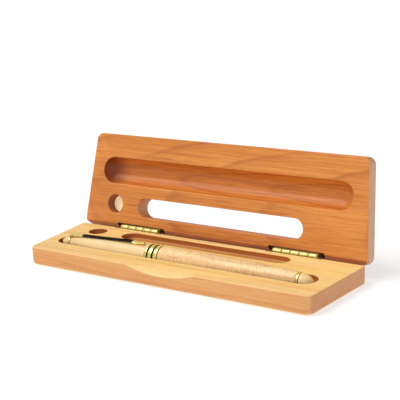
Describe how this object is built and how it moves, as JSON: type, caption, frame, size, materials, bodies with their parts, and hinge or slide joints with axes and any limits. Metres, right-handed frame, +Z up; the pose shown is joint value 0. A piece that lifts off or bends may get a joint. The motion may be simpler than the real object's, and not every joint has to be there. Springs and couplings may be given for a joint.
{
  "type": "fountain pen case",
  "caption": "Hinged wooden case with a lengthwise groove that holds a capped wooden fountain pen, a grooved lid that swings over it, and small brass hinges.",
  "frame": {"origin": "centre of the base's underside, midway between the ends and between the opening edge and the hinge edge", "axes": "+X along the case towards the barrel end of the pen, -Y towards the opening edge, +Y towards the hinges, +Z up"},
  "size_m": [0.1712, 0.0709, 0.0587],
  "materials": {
    "alder_base": "oiled satin, pale yellow-tan",
    "alder_lid": "oiled satin, orange-brown",
    "maple": "sanded and waxed, cream",
    "brass": "polished",
    "gold_trim": "polished gold plate with black lacquer lines on the cap band",
    "black_plastic": "gloss black",
    "clear_plastic": "smoky clear"
  },
  "bodies": {
    "case_base": {"base_block": "alder_base", "hinge_left_base_leaf": "brass", "hinge_right_base_leaf": "brass", "hinge_left_pin": "brass", "hinge_right_pin": "brass"},
    "case_lid": {"lid_block": "alder_lid", "lid_plug": "maple", "hinge_left_lid_leaf": "brass", "hinge_right_lid_leaf": "brass"},
    "pen_barrel": {"barrel_tube": "maple", "barrel_end_ring": "gold_trim", "barrel_finial": "maple", "grip_section": "black_plastic", "nib": "gold_trim", "ink_feed": "black_plastic", "converter_tube": "clear_plastic"},
    "pen_cap": {"cap_tube": "maple", "cap_band": "gold_trim", "cap_finial": "maple", "pocket_clip": "gold_trim"},
    "converter_knob": {"converter_knob": "brass"},
    "converter_piston": {"converter_piston": "black_plastic"}
  },
  "joints": [
    {"name": "lid_hinge", "type": "hinge", "parent": "case_base", "child": "case_lid", "pos_m": [0, 0.0248, 0.00955], "axis": [1, 0, 0], "range_deg": [0, 103.15]},
    {"name": "pen_slide", "type": "slide", "parent": "case_base", "child": "pen_barrel", "axis": [1, 0, 0], "range_m": [-0.0004, 0.001]},
    {"name": "cap_turn", "type": "hinge", "parent": "pen_barrel", "child": "pen_cap", "pos_m": [0, -0.0056, 0.008], "axis": [1, 0, 0], "range_deg": [-39, 9]},
    {"name": "converter_knob_turn", "type": "hinge", "parent": "pen_barrel", "child": "converter_knob", "pos_m": [0.038, -0.0056, 0.008], "axis": [1, 0, 0], "range_deg": [0, 1800]},
    {"name": "converter_piston_slide", "type": "slide", "parent": "pen_barrel", "child": "converter_piston", "axis": [1, 0, 0], "range_m": [0, 0.0155]}
  ],
  "couplings": [
    {"joint": "converter_piston_slide", "follows": "converter_knob_turn", "m_per_rad": 0.00047746}
  ]
}
